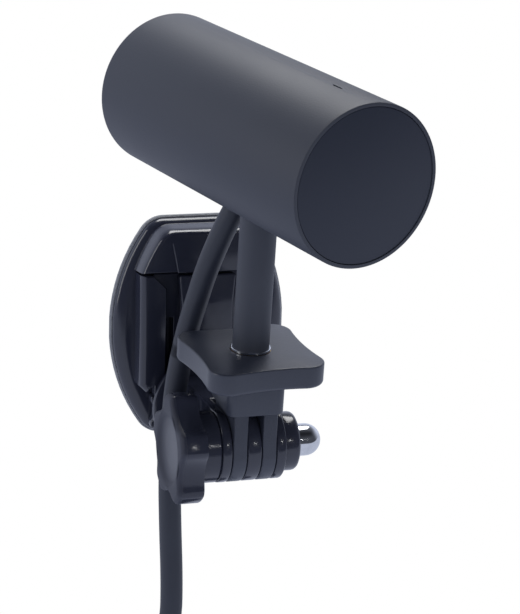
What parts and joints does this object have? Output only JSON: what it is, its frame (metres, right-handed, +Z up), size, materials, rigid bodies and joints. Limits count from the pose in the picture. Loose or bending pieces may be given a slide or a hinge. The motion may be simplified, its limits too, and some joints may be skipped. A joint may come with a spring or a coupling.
{
  "type": "backup camera",
  "caption": "Cylindrical vehicle rear-view camera on a post, with a swivelling lock-nut joint, a thumbscrew tilt hinge, a stick-on slide-in mount and a coiled lead with a round plug.",
  "frame": {"origin": "centre of the adhesive pad's back face, on the surface it sticks to", "axes": "+Y into that surface, +Z up, the camera stands off towards -Y; +X is to the right, along the hinge towards the dome nut"},
  "size_m": [0.0646, 0.0821, 0.2448],
  "materials": {
    "pad_foam": "matte closed-cell foam",
    "black_gloss_moulding": "polished moulded polycarbonate",
    "black_nylon_moulding": "fine spark-textured glass-filled nylon",
    "painted_aluminium": "fine matte powder coat, dark blue-grey",
    "rear_cap_plastic": "satin moulded plastic",
    "chrome_plate": "bright plated steel",
    "zinc_steel": "turned and zinc plated",
    "brass_turned": "turned brass",
    "socket_aluminium": "milled",
    "black_anodised": "black anodised, fine turned",
    "seal_rubber": "matte silicone rubber",
    "clear_glass": "polished coated glass",
    "indicator_plastic": "smoked clear plastic",
    "holder_plastic": "matte moulded plastic",
    "board_laminate": "green solder mask",
    "chip_epoxy": "moulded epoxy",
    "plug_nylon": "natural nylon",
    "wire_sleeve": "thin PVC sleeve",
    "cable_jacket": "satin extruded PVC jacket",
    "tie_fabric": "hook and loop tape",
    "nickel_shell": "satin nickel plate"
  },
  "bodies": {
    "base": {"adhesive_pad": "pad_foam", "base_plate": "black_gloss_moulding"},
    "buckle": {"slide_buckle": "black_gloss_moulding", "acorn_nut": "chrome_plate", "cable_lower": "cable_jacket", "cable_coil": "cable_jacket", "coil_tie": "tie_fabric", "cable_tail": "cable_jacket", "connector_boot": "seal_rubber", "connector_shell": "nickel_shell", "connector_insert": "holder_plastic", "connector_pins": "brass_turned"},
    "latch_left": {"latch_left": "black_gloss_moulding"},
    "latch_right": {"latch_right": "black_gloss_moulding"},
    "thumbscrew": {"thumbscrew_knob": "black_gloss_moulding", "thumbscrew_shank": "zinc_steel"},
    "arm": {"adapter": "black_nylon_moulding", "adapter_stud": "zinc_steel"},
    "lock_nut": {"lock_nut": "black_nylon_moulding", "lock_nut_insert": "brass_turned"},
    "head": {"post_ring": "chrome_plate", "mounting_post": "painted_aluminium", "post_screw": "zinc_steel", "post_socket": "socket_aluminium", "entry_gasket": "seal_rubber", "camera_tube": "painted_aluminium", "indicator_lens": "indicator_plastic", "rear_cap": "rear_cap_plastic", "rear_seal": "seal_rubber", "front_seal": "seal_rubber", "cover_glass": "clear_glass", "glass_retainer": "black_anodised", "lens_mask": "black_anodised", "lens_barrel": "black_anodised", "front_lens": "clear_glass", "inner_lenses": "clear_glass", "lens_holder": "holder_plastic", "image_sensor": "chip_epoxy", "sensor_board": "board_laminate", "sensor_spacers": "brass_turned", "sensor_screws": "zinc_steel", "board_cradle": "black_nylon_moulding", "main_board": "board_laminate", "board_chips": "chip_epoxy", "board_plug": "plug_nylon", "inner_wires": "wire_sleeve", "cable_stub": "cable_jacket", "cable_grommet": "seal_rubber", "cable_upper": "cable_jacket"},
    "connector_ring": {"connector_ring": "nickel_shell"}
  },
  "joints": [
    {"name": "buckle_slide", "type": "slide", "parent": "base", "child": "buckle", "axis": [0, 0, -1], "range_m": [0, 0.008]},
    {"name": "latch_left_squeeze", "type": "hinge", "parent": "buckle", "child": "latch_left", "pos_m": [-0.00985, -0.005, 0.0027], "axis": [0, -1, 0], "range_deg": [0, 3.5], "stiffness_Nm_per_rad": 0.05},
    {"name": "latch_right_squeeze", "type": "hinge", "parent": "buckle", "child": "latch_right", "pos_m": [0.00985, -0.005, 0.0027], "axis": [0, 1, 0], "range_deg": [0, 3.5], "stiffness_Nm_per_rad": 0.05},
    {"name": "thumbscrew_turn", "type": "hinge", "parent": "buckle", "child": "thumbscrew", "pos_m": [0, -0.037, -0.0163], "axis": [1, 0, 0], "continuous": true},
    {"name": "arm_tilt", "type": "hinge", "parent": "buckle", "child": "arm", "pos_m": [0, -0.037, -0.0163], "axis": [1, 0, 0], "range_deg": [-5, 85], "deforming": ["cable_lower"]},
    {"name": "lock_nut_turn", "type": "hinge", "parent": "arm", "child": "lock_nut", "pos_m": [0, -0.037, -0.0163], "axis": [0, -0.1132, 0.9936], "continuous": true},
    {"name": "head_swivel", "type": "hinge", "parent": "arm", "child": "head", "pos_m": [0, -0.037, -0.0163], "axis": [0, -0.1132, 0.9936], "range_deg": [-165, 165], "deforming": ["cable_upper"]},
    {"name": "connector_ring_turn", "type": "hinge", "parent": "buckle", "child": "connector_ring", "pos_m": [-0.0315, -0.0214, -0.168], "axis": [0, 0, 1], "continuous": true}
  ]
}
